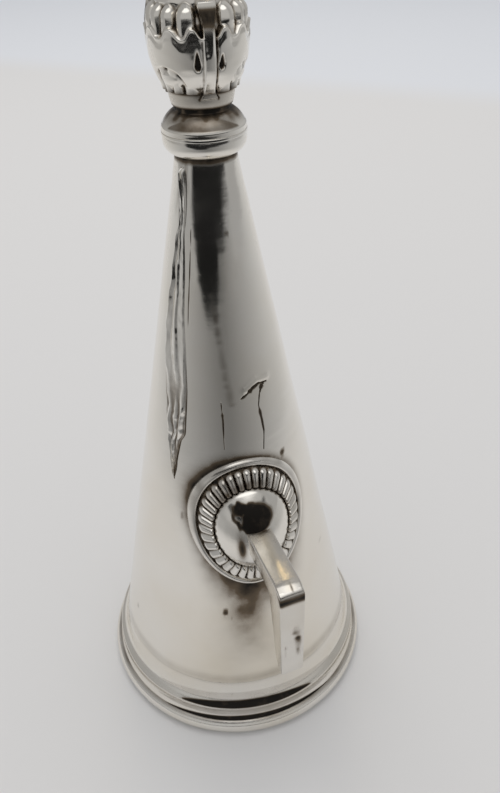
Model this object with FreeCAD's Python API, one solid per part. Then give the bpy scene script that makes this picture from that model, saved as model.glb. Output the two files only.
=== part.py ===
import FreeCAD, Part
import math
import os

# Candle extinguisher from a chamberstick: a seamed cone of silver sheet with a moulded foot,
# a collar and leaf bud at its tip, and a hook on a gadrooned rosette.
# Millimetres. The axis is Z, the mouth rests on z = 0, and the hook reaches out along -Y.

# Cone of rolled sheet
mouth_radius = 15.57
tip_radius = 2.70
cone_height = 65.60
sheet = 0.50
solder = 0.02  # film left between soldered faces
overshoot = 1.0  # how far a cutting shape runs past what it cuts

# Raised run of solder on the seam
seam_azimuth = -52.0  # degrees from the hook
seam_low = 34.0
seam_clear = 0.60  # bare sheet left under the collar
seam_width = 2.80
seam_proud = 0.22
seam_bulge = 0.10
# Its edges: a share of its length, then shares of its width left and right of the azimuth
seam_edges = ((0.14, -0.23, 0.31), (0.32, -0.53, 0.46), (0.54, -0.64, 0.23), (0.75, -0.36, 0.11),
              (0.84, -0.13, 0.09), (0.95, -0.24, 0.05), (1.0, -0.26, -0.02))

# Foot: a rim wire under a hollowed moulding, both proud of the cone's outside
wire_proud = 0.93
land_proud = 0.43
shoulder_proud = 0.76
wire_belly = 0.75
wire_height = 2.10
wire_heel = 0.10
wire_round = 0.28
moulding_height = 7.50
moulding_lip = 0.14
moulding_hollow = 0.40
ridge_proud = 0.83
ridge_height = 4.10
ridge_land = 0.24
cove_hollow = 0.20

# Collar in two stampings, with a spigot in the cone's open tip
cup_height = 1.95
cup_radius = 3.58
cup_bulge = 0.40
collar_radius = 3.74
collar_edge = 0.24
cap_height = 2.05
cap_bulge = 0.35
neck_radius = 2.46
neck_height = 0.35
spigot_length = 1.60

# Foot of the finial: a drum that the straps of the leaves lap over
foot_height = 1.35
foot_low_radius = 2.56
foot_top_radius = 2.80
foot_bulge = 0.06
lap_height = 0.55
lap_thick = 0.24
lap_width = 1.30

# Cast leaf bud: three broad leaves with lobed rims, a pod between their feet, and shells and a
# crown of small leaves over them. Places and spreads are shares of half a leaf's pitch.
bud_height = 9.40
bud_belly = 3.90
bud_neck = 2.56
bud_tip = 0.80
bud_point = 0.30
core_radius = 3.55
leaf_count = 3
leaf_thick = 0.62
leaf_foot = 0.40  # share of the thickness at the leaf's foot
leaf_fill = 1.70  # height at which it is full
leaf_edge = 0.40
leaf_rim = 4.60
rim_wave = 0.35
lobe_place = 0.30
lobe_pitch = 0.385
strap_proud = 0.14
strap_spread = 0.17
strap_reach = 6.50
strap_curl = 0.25
pod_place = 0.48
pod_curve = 0.14
pod_hollow = 2.05
pod_height = 1.05
pod_length = 0.86
pod_spread = 0.44
pod_thick = 0.62
shell_places = (0.45, 0.85)
shell_spread = 0.20
shell_height = 5.70
shell_length = 0.85
shell_thick = 0.40
crown_leaf_count = 6
crown_low = 6.20
crown_edge = 0.60
crown_reach = 9.10
crown_thick = 0.34
bud_point_count = 28  # control points across a leaf
bud_row_count = 24

# Peg that threads the finial and the collar together
peg_radius = 0.80
peg_in_bud = 3.60

# Rosette soldered on the front of the cone
rosette_z = 29.80
rosette_half_width = 6.30
rosette_half_height = 7.25
rosette_lean = 0.06  # the lower edge stands further out than the upper one
plate_rise = 0.60
rim_width = 0.80
rim_rise = 0.25
gadroon_count = 36
gadroon_floor = 0.20
gadroon_ramp = 0.55
gadroon_rise = 0.42
flute_point_count = 4  # control points across a flute
flute_row_count = 5
gadroon_blunt = 0.1  # share of a half wave left off each end of a flute
boss_half_width = 4.05
boss_half_height = 4.50
boss_edge = 0.80
boss_dome = 2.00
boss_point_count = 48
boss_row_count = 8
rosette_fit = 0.04

# Hook: bar and tongue in one casting, with a tenon through the wall
hook_skew = 5.4
bar_above = 1.15  # top of the bar over the rosette's centre
bar_depth = 2.50
bar_width = 2.60
hook_reach = 21.00
bend_radius = 1.20
corner_radius = 1.20
tongue_bottom = 18.20
tongue_root = 2.75
tongue_tip = 1.65
tongue_toe = 0.90
tongue_heel = 1.20  # height of the bevel between the tip and the toe
tongue_tip_width = 2.40
tenon_radius = 0.75
tenon_proud = 0.30

origin = FreeCAD.Vector(0, 0, 0)
up = FreeCAD.Vector(0, 0, 1)
front = FreeCAD.Vector(0, -1, 0)
taper = (mouth_radius - tip_radius) / cone_height
cup_top = cone_height + cup_height
collar_top = cup_top + cap_height
bud_base = collar_top + foot_height
bar_top = rosette_z + bar_above


def cone_at(z, stand_off=0.0):
    # Radius of the cone's outside at height z, or of a surface that stands off it
    return mouth_radius - taper * z + stand_off * math.hypot(1, taper)


def arc_middle(here, there, bow):
    # Middle of an arc that swells by bow away from the axis, or hollows towards it
    across = there[0] - here[0]
    rise = there[1] - here[1]
    side = bow / math.hypot(across, rise)
    if rise < 0 or (rise == 0 and across > 0):
        side = -side
    x = (here[0] + there[0]) / 2 + side * rise
    z = (here[1] + there[1]) / 2 - side * across
    return FreeCAD.Vector(x, 0, z)


def outline(start, *steps):
    # Closed face in the XZ plane: a step of two numbers is a line, a third is an arc's bow
    points = [start, *steps, start]
    edges = []
    for here, there in zip(points, points[1:]):
        first = FreeCAD.Vector(here[0], 0, here[1])
        last = FreeCAD.Vector(there[0], 0, there[1])
        if len(there) == 3:
            edges.append(Part.Arc(first, arc_middle(here, there, there[2]), last).toShape())
        else:
            edges.append(Part.LineSegment(first, last).toShape())
    return Part.Face(Part.Wire(edges))


def turned(start, *steps):
    return outline(start, *steps).revolve(origin, up, 360)


def bored(shape, radius):
    bounds = shape.BoundBox
    start = FreeCAD.Vector(0, 0, bounds.ZMin - overshoot)
    return shape.cut(Part.makeCylinder(radius, bounds.ZLength + 2 * overshoot, start))


def turn_about_axis(shape, degrees):
    copy = shape.copy()
    copy.rotate(origin, up, degrees)
    return copy


def cone_block(stand_off, low, high):
    return Part.makeCone(cone_at(low, stand_off), cone_at(high, stand_off), high - low,
                         FreeCAD.Vector(0, 0, low))


def smooth_skin(rows):
    # Surface that closes round its rows and is clamped across them
    around = len(rows)
    across = len(rows[0])
    degree = min(3, across - 1)
    spans = across - degree
    ends = [degree + 1] + [1] * (spans - 1) + [degree + 1]
    surface = Part.BSplineSurface()
    surface.buildFromPolesMultsKnots(rows, [1] * (around + 1), ends, list(range(around + 1)),
                                     list(range(spans + 1)), True, False, 3, degree)
    return surface.toShape()


def closed_solid(faces):
    shell = Part.makeCompound(faces)
    shell.sewShape()
    return Part.makeSolid(Part.Shell(shell.Faces))


def cone_shell():
    body = turned((cone_at(0), 0), (cone_at(cone_height), cone_height),
                  (cone_at(cone_height, -sheet), cone_height), (cone_at(0, -sheet), 0))
    return body.cut(tenon(tenon_radius + solder))


def seam_solder():
    high = cone_height - seam_clear
    right = []
    left = []
    for share, left_share, right_share in seam_edges:
        z = seam_low + share * (high - seam_low)
        right.append((right_share * seam_width, z, seam_bulge))
        left.insert(0, (left_share * seam_width, z, -seam_bulge))
    left[0] = left[0][:2]
    ribbon = outline((0, seam_low), *right, *left).extrude(front * mouth_radius)
    low_end = seam_low - overshoot
    high_end = high + overshoot
    skin = cone_block(solder + seam_proud, low_end, high_end)
    run = ribbon.common(skin.cut(cone_block(solder, low_end, high_end)))
    return turn_about_axis(run, seam_azimuth)


def rim_wire():
    return turned((cone_at(0, solder), 0), (cone_at(0) + land_proud, 0),
                  (cone_at(0) + wire_proud, wire_belly, wire_heel),
                  (cone_at(wire_height) + shoulder_proud, wire_height, wire_round),
                  (cone_at(wire_height, solder), wire_height))


def base_moulding():
    inner_top = cone_at(moulding_height, solder)
    ridge_radius = cone_at(ridge_height) + ridge_proud
    ridge_top = ridge_height + ridge_land / 2
    ridge_low = ridge_height - ridge_land / 2
    return turned((inner_top, moulding_height), (inner_top + moulding_lip, moulding_height),
                  (ridge_radius, ridge_top, -moulding_hollow), (ridge_radius, ridge_low),
                  (cone_at(wire_height) + shoulder_proud, wire_height, -cove_hollow),
                  (cone_at(wire_height, solder), wire_height))


def collar_cup():
    spigot_low = cone_height - spigot_length
    spigot_gap = -sheet - solder
    body = turned((0, spigot_low), (cone_at(spigot_low, spigot_gap), spigot_low),
                  (cone_at(cone_height, spigot_gap), cone_height), (tip_radius, cone_height),
                  (cup_radius, cup_top - collar_edge, cup_bulge),
                  (collar_radius, cup_top - collar_edge), (collar_radius, cup_top), (0, cup_top))
    return bored(body, peg_radius + solder)


def collar_cap():
    body = turned((0, cup_top), (collar_radius, cup_top),
                  (neck_radius, collar_top - neck_height, cap_bulge),
                  (neck_radius, collar_top), (0, collar_top))
    return bored(body, peg_radius + solder)


def finial_foot():
    drum = turned((0, collar_top), (foot_low_radius, collar_top),
                  (foot_top_radius, bud_base, foot_bulge), (0, bud_base))
    lap = Part.makeBox(lap_width, foot_top_radius + lap_thick, lap_height,
                       FreeCAD.Vector(-lap_width / 2, -foot_top_radius - lap_thick, bud_base - lap_height))
    laps = [turn_about_axis(lap, 360 / leaf_count * number) for number in range(leaf_count)]
    return bored(drum.multiFuse(laps), peg_radius + solder)


def bud_core(height):
    # Radius of the bud under its leaves: two arcs that meet square to the radius at the belly
    narrow = bud_neck if height < bud_belly else bud_tip
    reach = bud_belly if height < bud_belly else bud_height - bud_belly
    spread = core_radius - narrow
    bend = (spread ** 2 + reach ** 2) / (2 * spread)
    return core_radius - bend + math.sqrt(bend ** 2 - (height - bud_belly) ** 2)


def plump(share):
    return math.sqrt(max(0.0, 1 - share ** 2))


def ramp(share):
    return min(1.0, max(0.0, share))


def leaf_full(height):
    return leaf_thick * (leaf_foot + (1 - leaf_foot) * ramp(height / leaf_fill))


def leaf_rise(turn, height):
    # Leaf between its lobed rim and the hollow over the pod
    rim = leaf_rim + rim_wave * math.cos(2 * math.pi * (turn - lobe_place) / lobe_pitch)
    hollow = -leaf_edge
    if turn > pod_place:
        hollow = pod_hollow * (1 - math.exp((pod_place - turn) / pod_curve)) - leaf_edge
    return leaf_full(height) * ramp(min(rim - height, height - hollow) / leaf_edge)


def bud_rise(angle, height):
    pitch = 2 * math.pi / leaf_count
    turn = abs((angle / pitch + 0.5) % 1 - 0.5) * 2
    rises = [leaf_rise(turn, height)]
    if height < strap_reach:
        proud = strap_proud + strap_curl * ramp((height - leaf_rim) / (strap_reach - leaf_rim))
        rises.append((leaf_full(height) + proud) * plump((turn / strap_spread) ** 2))
    pod = math.hypot((1 - turn) / pod_spread, (height - pod_height) / pod_length)
    rises.append(pod_thick * plump(pod))
    for place in shell_places:
        shell = math.hypot((turn - place) / shell_spread, (height - shell_height) / shell_length)
        rises.append(shell_thick * plump(shell ** 2))
    crown = ramp((height - crown_low) / crown_edge) * ramp((crown_reach - height) / crown_edge)
    rises.append(crown_thick * crown * abs(math.sin(crown_leaf_count / 2 * angle)))
    return max(rises)


def finial_bud():
    around = bud_point_count * leaf_count
    rows = []
    for step in range(around):
        angle = 2 * math.pi * step / around
        row = []
        for level in range(bud_row_count + 1):
            height = bud_height * level / bud_row_count
            radius = bud_core(height) + bud_rise(angle, height)
            row.append((radius, height))
        row.append((bud_point, bud_height))
        rows.append([FreeCAD.Vector(r * math.sin(angle), -r * math.cos(angle), bud_base + h)
                     for r, h in row])
    skin = smooth_skin(rows)
    caps = [Part.Face(Part.Wire(edge)) for edge in skin.Edges if edge.isClosed()]
    body = closed_solid([skin, *caps])
    depth = peg_in_bud + solder
    return body.cut(Part.makeCylinder(peg_radius + solder, depth, FreeCAD.Vector(0, 0, bud_base)))


def locating_peg():
    low = cone_height - spigot_length
    length = bud_base + peg_in_bud - low
    return Part.makeCylinder(peg_radius, length, FreeCAD.Vector(0, 0, low))


def rosette_radius(z, rise):
    return cone_at(z, rise) + rosette_lean * (rosette_z - z)


def rosette_block(rise):
    reach = rosette_half_height + overshoot
    low = rosette_z - reach
    high = rosette_z + reach
    return Part.makeCone(rosette_radius(low, rise), rosette_radius(high, rise), high - low,
                         FreeCAD.Vector(0, 0, low))


def oval_prism(inset):
    circle = Part.Circle(origin, front, 1).toShape()
    stretch = FreeCAD.Matrix()
    stretch.scale(rosette_half_width - inset, 1, rosette_half_height - inset)
    stretch.move(FreeCAD.Vector(0, 0, rosette_z))
    return Part.Face(Part.Wire(circle)).transformGeometry(stretch).extrude(front * mouth_radius)


def on_rosette(half_width, half_height, angle, rise):
    # Point over the cone, angle measured from the top towards +X
    x = half_width * math.sin(angle)
    z = rosette_z + half_height * math.cos(angle)
    radius = rosette_radius(z, rise)
    return FreeCAD.Vector(x, -math.sqrt(radius ** 2 - x ** 2), z)


def wrapped_ring(inner, outer, rise, around, across):
    # Ring on the rosette plate between two ovals, whose front stands at rise(share, angle)
    seat = plate_rise + solder
    front_rows = []
    back_rows = []
    for turn in range(around):
        angle = 2 * math.pi * turn / around
        front_row = []
        back_row = []
        for step in range(across + 1):
            share = step / across
            half_width = inner[0] + share * (outer[0] - inner[0])
            half_height = inner[1] + share * (outer[1] - inner[1])
            front_row.append(on_rosette(half_width, half_height, angle, seat + rise(share, angle)))
            back_row.append(on_rosette(half_width, half_height, angle, seat))
        front_rows.append(front_row)
        back_rows.append(back_row)
    faces = [smooth_skin(front_rows), smooth_skin(back_rows)]
    for side in (0, -1):
        wall = [[high[side], low[side]] for high, low in zip(front_rows, back_rows)]
        faces.append(smooth_skin(wall))
    return closed_solid(faces)


def gadroon_ring():
    inset = rim_width + rosette_fit
    inner = (boss_half_width + rosette_fit, boss_half_height + rosette_fit)
    outer = (rosette_half_width - inset, rosette_half_height - inset)

    def rise(share, angle):
        flute = abs(math.cos(gadroon_count / 2 * angle))
        swelling = math.sin(math.pi * (gadroon_blunt + (1 - 2 * gadroon_blunt) * share))
        return gadroon_floor + gadroon_ramp * (1 - share) + gadroon_rise * swelling * flute

    return wrapped_ring(inner, outer, rise, flute_point_count * gadroon_count, flute_row_count)


def boss_cap():
    bore = tenon_radius + solder
    outer = (boss_half_width, boss_half_height)

    def rise(share, angle):
        return boss_edge + boss_dome * (1 - share ** 2)

    return wrapped_ring((bore, bore), outer, rise, boss_point_count, boss_row_count)


def rosette_plate():
    plate = oval_prism(0).common(rosette_block(plate_rise + rim_rise))
    well = oval_prism(rim_width).cut(rosette_block(plate_rise))
    low = rosette_z - rosette_half_height - overshoot
    high = rosette_z + rosette_half_height + overshoot
    return plate.cut(well).cut(cone_block(solder, low, high)).cut(tenon(tenon_radius + solder))


def tenon(radius):
    # Round peg from just inside the sheet to the bar, square to the axis
    inside = cone_at(rosette_z, -sheet) - tenon_proud
    length = rosette_radius(rosette_z, plate_rise + boss_edge + boss_dome) - inside
    return Part.makeCylinder(radius, length, front * inside + up * rosette_z, front)


def hook():
    seat = rosette_radius(rosette_z, plate_rise + boss_edge)
    under = bar_top - bar_depth
    corner = hook_reach - tongue_root - corner_radius
    bend = bend_radius * (1 - math.sqrt(0.5))
    fillet = corner_radius * (1 - math.sqrt(0.5))
    side = outline((seat, bar_top), (hook_reach - bend_radius, bar_top),
                   (hook_reach, bar_top - bend_radius, bend), (hook_reach, tongue_bottom),
                   (hook_reach - tongue_toe, tongue_bottom),
                   (hook_reach - tongue_tip, tongue_bottom + tongue_heel),
                   (hook_reach - tongue_root, under - corner_radius),
                   (corner, under, fillet), (seat, under))
    body = side.extrude(FreeCAD.Vector(0, 2 * bar_width, 0))
    body.translate(FreeCAD.Vector(0, -bar_width, 0))
    body.rotate(origin, up, -90)
    half = bar_width / 2
    tip_half = tongue_tip_width / 2
    face = outline((half, bar_top + overshoot), (half, under), (tip_half, tongue_bottom),
                   (-tip_half, tongue_bottom), (-half, under), (-half, bar_top + overshoot))
    body = body.common(face.extrude(front * (hook_reach + overshoot)))
    body.rotate(front * seat, up, hook_skew)
    return body.fuse(tenon(tenon_radius)).cut(boss_cap()).removeSplitter()


os.makedirs("parts", exist_ok=True)
pieces = (cone_shell, seam_solder, rim_wire, base_moulding, collar_cup, collar_cap, finial_foot,
          finial_bud, locating_peg, rosette_plate, gadroon_ring, boss_cap, hook)
for piece in pieces:
    shape = piece()
    shape.exportStep("parts/" + piece.__name__ + ".step")
    print(piece.__name__, len(shape.Solids), "solid", shape.isValid(), round(shape.Volume, 2), "mm3")
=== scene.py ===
import bmesh
import bpy
import math
import numpy as np
from mathutils import Matrix, Vector


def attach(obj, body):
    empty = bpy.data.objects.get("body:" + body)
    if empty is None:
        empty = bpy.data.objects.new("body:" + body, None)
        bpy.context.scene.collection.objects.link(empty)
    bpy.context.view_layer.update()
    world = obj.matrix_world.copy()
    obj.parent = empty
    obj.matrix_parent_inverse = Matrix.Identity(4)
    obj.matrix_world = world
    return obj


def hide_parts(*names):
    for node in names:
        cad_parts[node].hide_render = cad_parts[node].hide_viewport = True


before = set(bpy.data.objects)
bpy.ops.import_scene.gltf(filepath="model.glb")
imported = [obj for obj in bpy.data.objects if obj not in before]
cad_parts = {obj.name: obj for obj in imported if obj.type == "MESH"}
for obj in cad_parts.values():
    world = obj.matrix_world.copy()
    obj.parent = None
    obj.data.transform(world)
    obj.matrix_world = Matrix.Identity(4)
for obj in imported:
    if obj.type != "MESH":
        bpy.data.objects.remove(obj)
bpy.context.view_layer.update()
mm = 0.001
fullTurn = 2 * np.pi
crispFrom = math.radians(55)  # edges bent further than this stay crisp
print("frame loaded,", len(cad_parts), "nodes")


# Small tools: eased steps, humps, soft random fields, outlines
def ease(low, high, x):
    s = np.clip((x - low) / (high - low), 0.0, 1.0)
    return s * s * (3.0 - 2.0 * s)


def hump(x, centre, width):
    return np.exp(-((x - centre) / width) ** 2)


def mound(x, spec):  # spec is (strength, centre, width)
    return spec[0] * hump(x, spec[1], spec[2])


def centred(angle, full):  # the same direction, within half a turn either way
    return (angle + full / 2) % full - full / 2


def circle(count):
    return np.linspace(0, fullTurn, count, endpoint=False)[None, :]


def grain(turns, along, cellsRound, cellsAlong, seed):  # wraps round the piece, both inputs run 0 to 1
    table = np.random.default_rng(seed).uniform(-1, 1, (cellsAlong + 2, cellsRound))
    u = (turns % 1.0) * cellsRound
    v = np.clip(along, 0, 1) * cellsAlong
    col = np.floor(u).astype(int)
    row = np.floor(v).astype(int)
    fu = ease(0, 1, u - col)
    fv = ease(0, 1, v - row)
    here, there = col % cellsRound, (col + 1) % cellsRound
    low = table[row, here] * (1 - fu) + table[row, there] * fu
    high = table[row + 1, here] * (1 - fu) + table[row + 1, there] * fu
    return low * (1 - fv) + high * fv


def softCurve(x, points, softness):  # smooth line through (x, y) points, kept straight past its ends
    perSoft = 8  # steps in one softness
    bellSteps = 3 * perSoft
    xs, ys = np.array(points, dtype=float).T
    pad = 4 * softness
    dense = np.arange(xs[0] - pad, xs[-1] + pad, softness / perSoft)
    line = np.interp(dense, xs, ys)
    lead = (ys[1] - ys[0]) / (xs[1] - xs[0])
    tail = (ys[-1] - ys[-2]) / (xs[-1] - xs[-2])
    line = np.where(dense < xs[0], ys[0] + lead * (dense - xs[0]), line)
    line = np.where(dense > xs[-1], ys[-1] + tail * (dense - xs[-1]), line)
    bell = np.exp(-2 * (np.arange(-bellSteps, bellSteps + 1) / perSoft) ** 2)
    line = np.convolve(np.pad(line, bellSteps, mode="edge"), bell / bell.sum(), mode="valid")
    return np.interp(x, dense, line)


def blurred(field, rounds):  # columns wrap, rows stop at the ends
    for _ in range(rounds):
        field = (np.roll(field, 1, 1) + 2 * field + np.roll(field, -1, 1)) / 4
        tall = np.vstack([field[:1], field, field[-1:]])
        field = (tall[:-2] + 2 * tall[1:-1] + tall[2:]) / 4
    return field


def bowed(points):  # closed outline of (r, z) points, a third number bows the run that ends there
    bowSteps = 16
    line = []
    for here, there in zip(points, points[1:] + points[:1]):
        across, rise = there[0] - here[0], there[1] - here[1]
        bow = there[2] if len(there) > 2 else 0.0
        side = bow / math.hypot(across, rise)
        if rise < 0 or (rise == 0 and across > 0):
            side = -side
        for k in range(bowSteps if bow else 1):
            s = k / bowSteps
            lift = 4 * s * (1 - s) * side
            line.append((here[0] + s * across + lift * rise, here[1] + s * rise - lift * across))
    return np.array(line)


def roundedLoop(points, spacing, softness):  # evenly spaced outline with its corners rubbed round
    closed = np.vstack([points, points[:1]])
    place = np.concatenate([[0], np.cumsum(np.hypot(*np.diff(closed, axis=0).T))])
    at = np.linspace(0, place[-1], int(place[-1] / spacing), endpoint=False)
    loop = np.stack([np.interp(at, place, closed[:, k]) for k in (0, 1)], 1)
    for _ in range(max(1, int(2 * (softness / spacing) ** 2))):
        loop = (np.roll(loop, 1, 0) + 2 * loop + np.roll(loop, -1, 0)) / 4
    return loop


def pointGrid(x, y, z):
    return np.stack(np.broadcast_arrays(x, y, z), -1)


def roundPoints(radius, angle, z):  # angle from the hook, towards +X
    return pointGrid(radius * np.sin(angle), -radius * np.cos(angle), z)


# A sheet is a grid of points in mm that wraps across its columns, and its first and last rows are
# joined ("loop") or filled ("caps")
def makePiece(name, sheets, finish, node):
    mesh = bpy.data.meshes.new(name)
    points, faces, stainAndShade, wear = [], [], [], []
    base = 0
    for sheet in sheets:
        grid = sheet["points"]
        rows, cols = grid.shape[:2]
        index = base + np.arange(rows * cols).reshape(rows, cols)
        if sheet["ends"] == "loop":
            index = np.vstack([index, index[:1]])
        right = np.roll(index, -1, 1)
        quads = np.stack([index[:-1], right[:-1], right[1:], index[1:]], -1).reshape(-1, 4)
        faces += quads.tolist()
        if sheet["ends"] == "caps":
            faces += [index[0].tolist(), index[-1].tolist()]
        points.append(grid.reshape(-1, 3))
        blank = np.zeros((rows, cols))
        stainAndShade.append(np.broadcast_to(sheet["stainAndShade"], (rows, cols)).ravel())
        wear.append(np.broadcast_to(sheet.get("wear", blank), (rows, cols)).ravel())
        base += rows * cols
    mesh.from_pydata((np.vstack(points) * mm).tolist(), [], faces)
    for field, values in (("stainAndShade", stainAndShade), ("wear", wear)):
        layer = mesh.attributes.new(field, "FLOAT", "POINT")
        layer.data.foreach_set("value", np.clip(np.concatenate(values), 0, 1).astype(np.float32))
    work = bmesh.new()
    work.from_mesh(mesh)
    bmesh.ops.recalc_face_normals(work, faces=work.faces)
    work.to_mesh(mesh)
    work.free()
    mesh.polygons.foreach_set("use_smooth", [True] * len(mesh.polygons))
    mesh.set_sharp_from_angle(angle=crispFrom)
    piece = bpy.data.objects.new(name, mesh)
    bpy.context.scene.collection.objects.link(piece)
    mesh.materials.append(finish)
    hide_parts(node)
    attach(piece, "root")
    print(name, "made,", len(mesh.polygons), "faces")


# Silver finishes. The meshes carry a darkening field, black sulphide together with painted shade and painted
# dark reflections on some pieces, and a wear field of rubbed spots
silverLook = {
    "clean": (0.895, 0.868, 0.818, 1), "warm": (0.800, 0.735, 0.620, 1),
    "brown": (0.175, 0.135, 0.095, 1), "black": (0.030, 0.027, 0.024, 1),
    "blotchCells": 700.0, "hazeCells": 110.0, "rubCells": 260.0, "pitCells": 2300.0,  # in a metre
    "crossCells": (2600.0, 2600.0, 5200.0), "waveCells": (110.0, 110.0, 1500.0),
    "blotch": (0.84, 1.12), "rubbed": 0.09, "dulled": 0.42, "crossShare": 0.6, "pitDepth": -0.35,
    "relief": 6e-6,  # metres
}


def silverFinish(name, gloss, cloud, scratches, ripple, stretch):
    finish = bpy.data.materials.new(name)
    finish.use_nodes = True
    nodes, links = finish.node_tree.nodes, finish.node_tree.links
    shader = nodes["Principled BSDF"]
    shader.inputs["Metallic"].default_value = 1.0
    place = nodes.new("ShaderNodeTexCoord")

    def fieldOf(attribute):
        made = nodes.new("ShaderNodeAttribute")
        made.attribute_name = attribute
        return made.outputs["Fac"]

    def noise(scale, detail, vector=None, roughness=0.55):
        made = nodes.new("ShaderNodeTexNoise")
        for socket, value in (("Scale", scale), ("Detail", detail), ("Roughness", roughness)):
            made.inputs[socket].default_value = value
        links.new(vector or place.outputs["Object"], made.inputs["Vector"])
        return made.outputs["Fac"]

    def spread(value, low, high, bottom, top):
        made = nodes.new("ShaderNodeMapRange")
        made.inputs["From Min"].default_value, made.inputs["From Max"].default_value = low, high
        made.inputs["To Min"].default_value, made.inputs["To Max"].default_value = bottom, top
        links.new(value, made.inputs["Value"])
        return made.outputs["Result"]

    def sums(operation, first, second, clamp=True):
        made = nodes.new("ShaderNodeMath")
        made.operation = operation
        made.use_clamp = clamp
        links.new(first, made.inputs[0])
        links.new(second, made.inputs[1])
        return made.outputs["Value"]

    def tone(amount, under, over):
        made = nodes.new("ShaderNodeMix")
        made.data_type = "RGBA"
        links.new(amount, made.inputs[0])
        for socket, colour in ((made.inputs[6], under), (made.inputs[7], over)):
            if isinstance(colour, tuple):
                socket.default_value = colour
            else:
                links.new(colour, socket)
        return made.outputs[2]

    def pulled(cells):  # object coordinates stretched for streaks
        made = nodes.new("ShaderNodeVectorMath")
        made.operation = "MULTIPLY"
        made.inputs[1].default_value = cells
        links.new(place.outputs["Object"], made.inputs[0])
        return made.outputs["Vector"]

    blotch = spread(noise(silverLook["blotchCells"], 6.0), 0.30, 0.70, *silverLook["blotch"])
    stainAndShade = sums("MULTIPLY", fieldOf("stainAndShade"), blotch)
    haze = spread(noise(silverLook["hazeCells"], 4.0), 0.42, 0.75, 0.0, cloud)
    warmth = sums("ADD", haze, fieldOf("wear"))
    colour = tone(warmth, silverLook["clean"], silverLook["warm"])
    colour = tone(spread(stainAndShade, 0.02, 0.50, 0.0, 1.0), colour, silverLook["brown"])
    colour = tone(spread(stainAndShade, 0.45, 0.95, 0.0, 1.0), colour, silverLook["black"])
    links.new(colour, shader.inputs["Base Color"])
    rub = spread(noise(silverLook["rubCells"], 7.0), 0.35, 0.70, gloss, gloss + silverLook["rubbed"])
    dull = spread(stainAndShade, 0.0, 0.9, 0.0, silverLook["dulled"])
    links.new(sums("ADD", rub, dull), shader.inputs["Roughness"])
    fine = spread(noise(1.0, 3.0, pulled(stretch), 0.7), 0.56, 0.70, 0.0, scratches)
    crossed = scratches * silverLook["crossShare"]
    cross = spread(noise(1.0, 2.0, pulled(silverLook["crossCells"])), 0.60, 0.72, 0.0, crossed)
    wave = spread(noise(1.0, 2.0, pulled(silverLook["waveCells"])), 0.2, 0.8, 0.0, ripple)
    pits = spread(noise(silverLook["pitCells"], 1.0), 0.70, 0.80, 0.0, silverLook["pitDepth"])
    height = sums("ADD", sums("ADD", fine, cross, False), sums("ADD", wave, pits, False), False)
    bump = nodes.new("ShaderNodeBump")
    bump.inputs["Strength"].default_value = 1.0
    bump.inputs["Distance"].default_value = silverLook["relief"]
    links.new(height, bump.inputs["Height"])
    links.new(bump.outputs["Normal"], shader.inputs["Normal"])
    return finish


upright = (2400.0, 2400.0, 90.0)  # cells of the scratches, along the piece or round it
roundabout = (500.0, 500.0, 3800.0)
finishSpecs = {
    "sheet": {"gloss": 0.06, "cloud": 0.30, "scratches": 0.22, "ripple": 0.38, "stretch": upright},
    "solder": {"gloss": 0.11, "cloud": 0.30, "scratches": 0.40, "ripple": 0.3, "stretch": upright},
    "foot": {"gloss": 0.17, "cloud": 0.45, "scratches": 0.30, "ripple": 0.4, "stretch": roundabout},
    "collar": {"gloss": 0.09, "cloud": 0.45, "scratches": 0.30, "ripple": 0.3, "stretch": roundabout},
    "cast": {"gloss": 0.085, "cloud": 0.30, "scratches": 0.20, "ripple": 0.2, "stretch": upright},
    "rosette": {"gloss": 0.10, "cloud": 0.40, "scratches": 0.25, "ripple": 0.2, "stretch": roundabout},
    "hook": {"gloss": 0.14, "cloud": 0.55, "scratches": 0.50, "ripple": 0.3, "stretch": upright},
}
finishes = {key: silverFinish("silver" + key.capitalize(), **spec) for key, spec in finishSpecs.items()}
print("finishes made")


# Cone of rolled sheet with its dents, splits and stains, painted shadow under the collar and the rosette and
# a painted dark reflection line, angles in degrees from the hook
cone = {"mouth": 15.57, "tip": 2.70, "height": 65.60, "sheet": 0.50, "dent": 0.035, "ripple": 0.0037,
        "turnRuns": [(-78.0, -20.0, 0.7), (-20.0, 34.0, 0.3), (34.0, 46.0, 0.8)],  # from, to, step
        "backFrom": 46.0, "backTo": 282.0, "backCount": 96, "tearLow": 36.4, "tearTop": 46.2,
        "tearStep": 0.065, "lowRows": 92, "topRows": 70, "innerRows": 50, "soot": 0.42, "sootPatch": 0.30,
        "innerWear": 0.4}
taper = (cone["mouth"] - cone["tip"]) / cone["height"]
slant = math.hypot(1, taper)  # how far a millimetre of thickness reaches sideways
rosette = {"z": 29.80, "halfWidth": 6.30, "halfHeight": 7.25, "lean": 0.06}
splits = [  # (degrees, z) along each split of the sheet, then its width and depth in mm
    {"line": [(-39.3, 59.8), (-39.8, 58.5), (-41.1, 54.4), (-41.8, 51.6), (-42.0, 48.0)],
     "width": 0.035, "depth": 0.02},
    {"line": [(-13.6, 43.5), (-12.9, 41.6), (-13.3, 38.4)], "width": 0.08, "depth": 0.05},
    {"line": [(19.8, 43.9), (16.6, 42.4), (17.7, 40.7), (18.0, 39.5), (15.6, 37.5)],
     "width": 0.105, "depth": 0.05},
    {"line": [(2.8, 43.6), (8.1, 43.95), (13.2, 44.4), (19.3, 44.65), (27.4, 44.5)],
     "width": 0.18, "depth": 0.09},
    {"line": [(24.5, 44.5), (22.0, 44.25), (19.8, 43.7)], "width": 0.21, "depth": 0.09},
]
splitStain = 0.85
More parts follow.
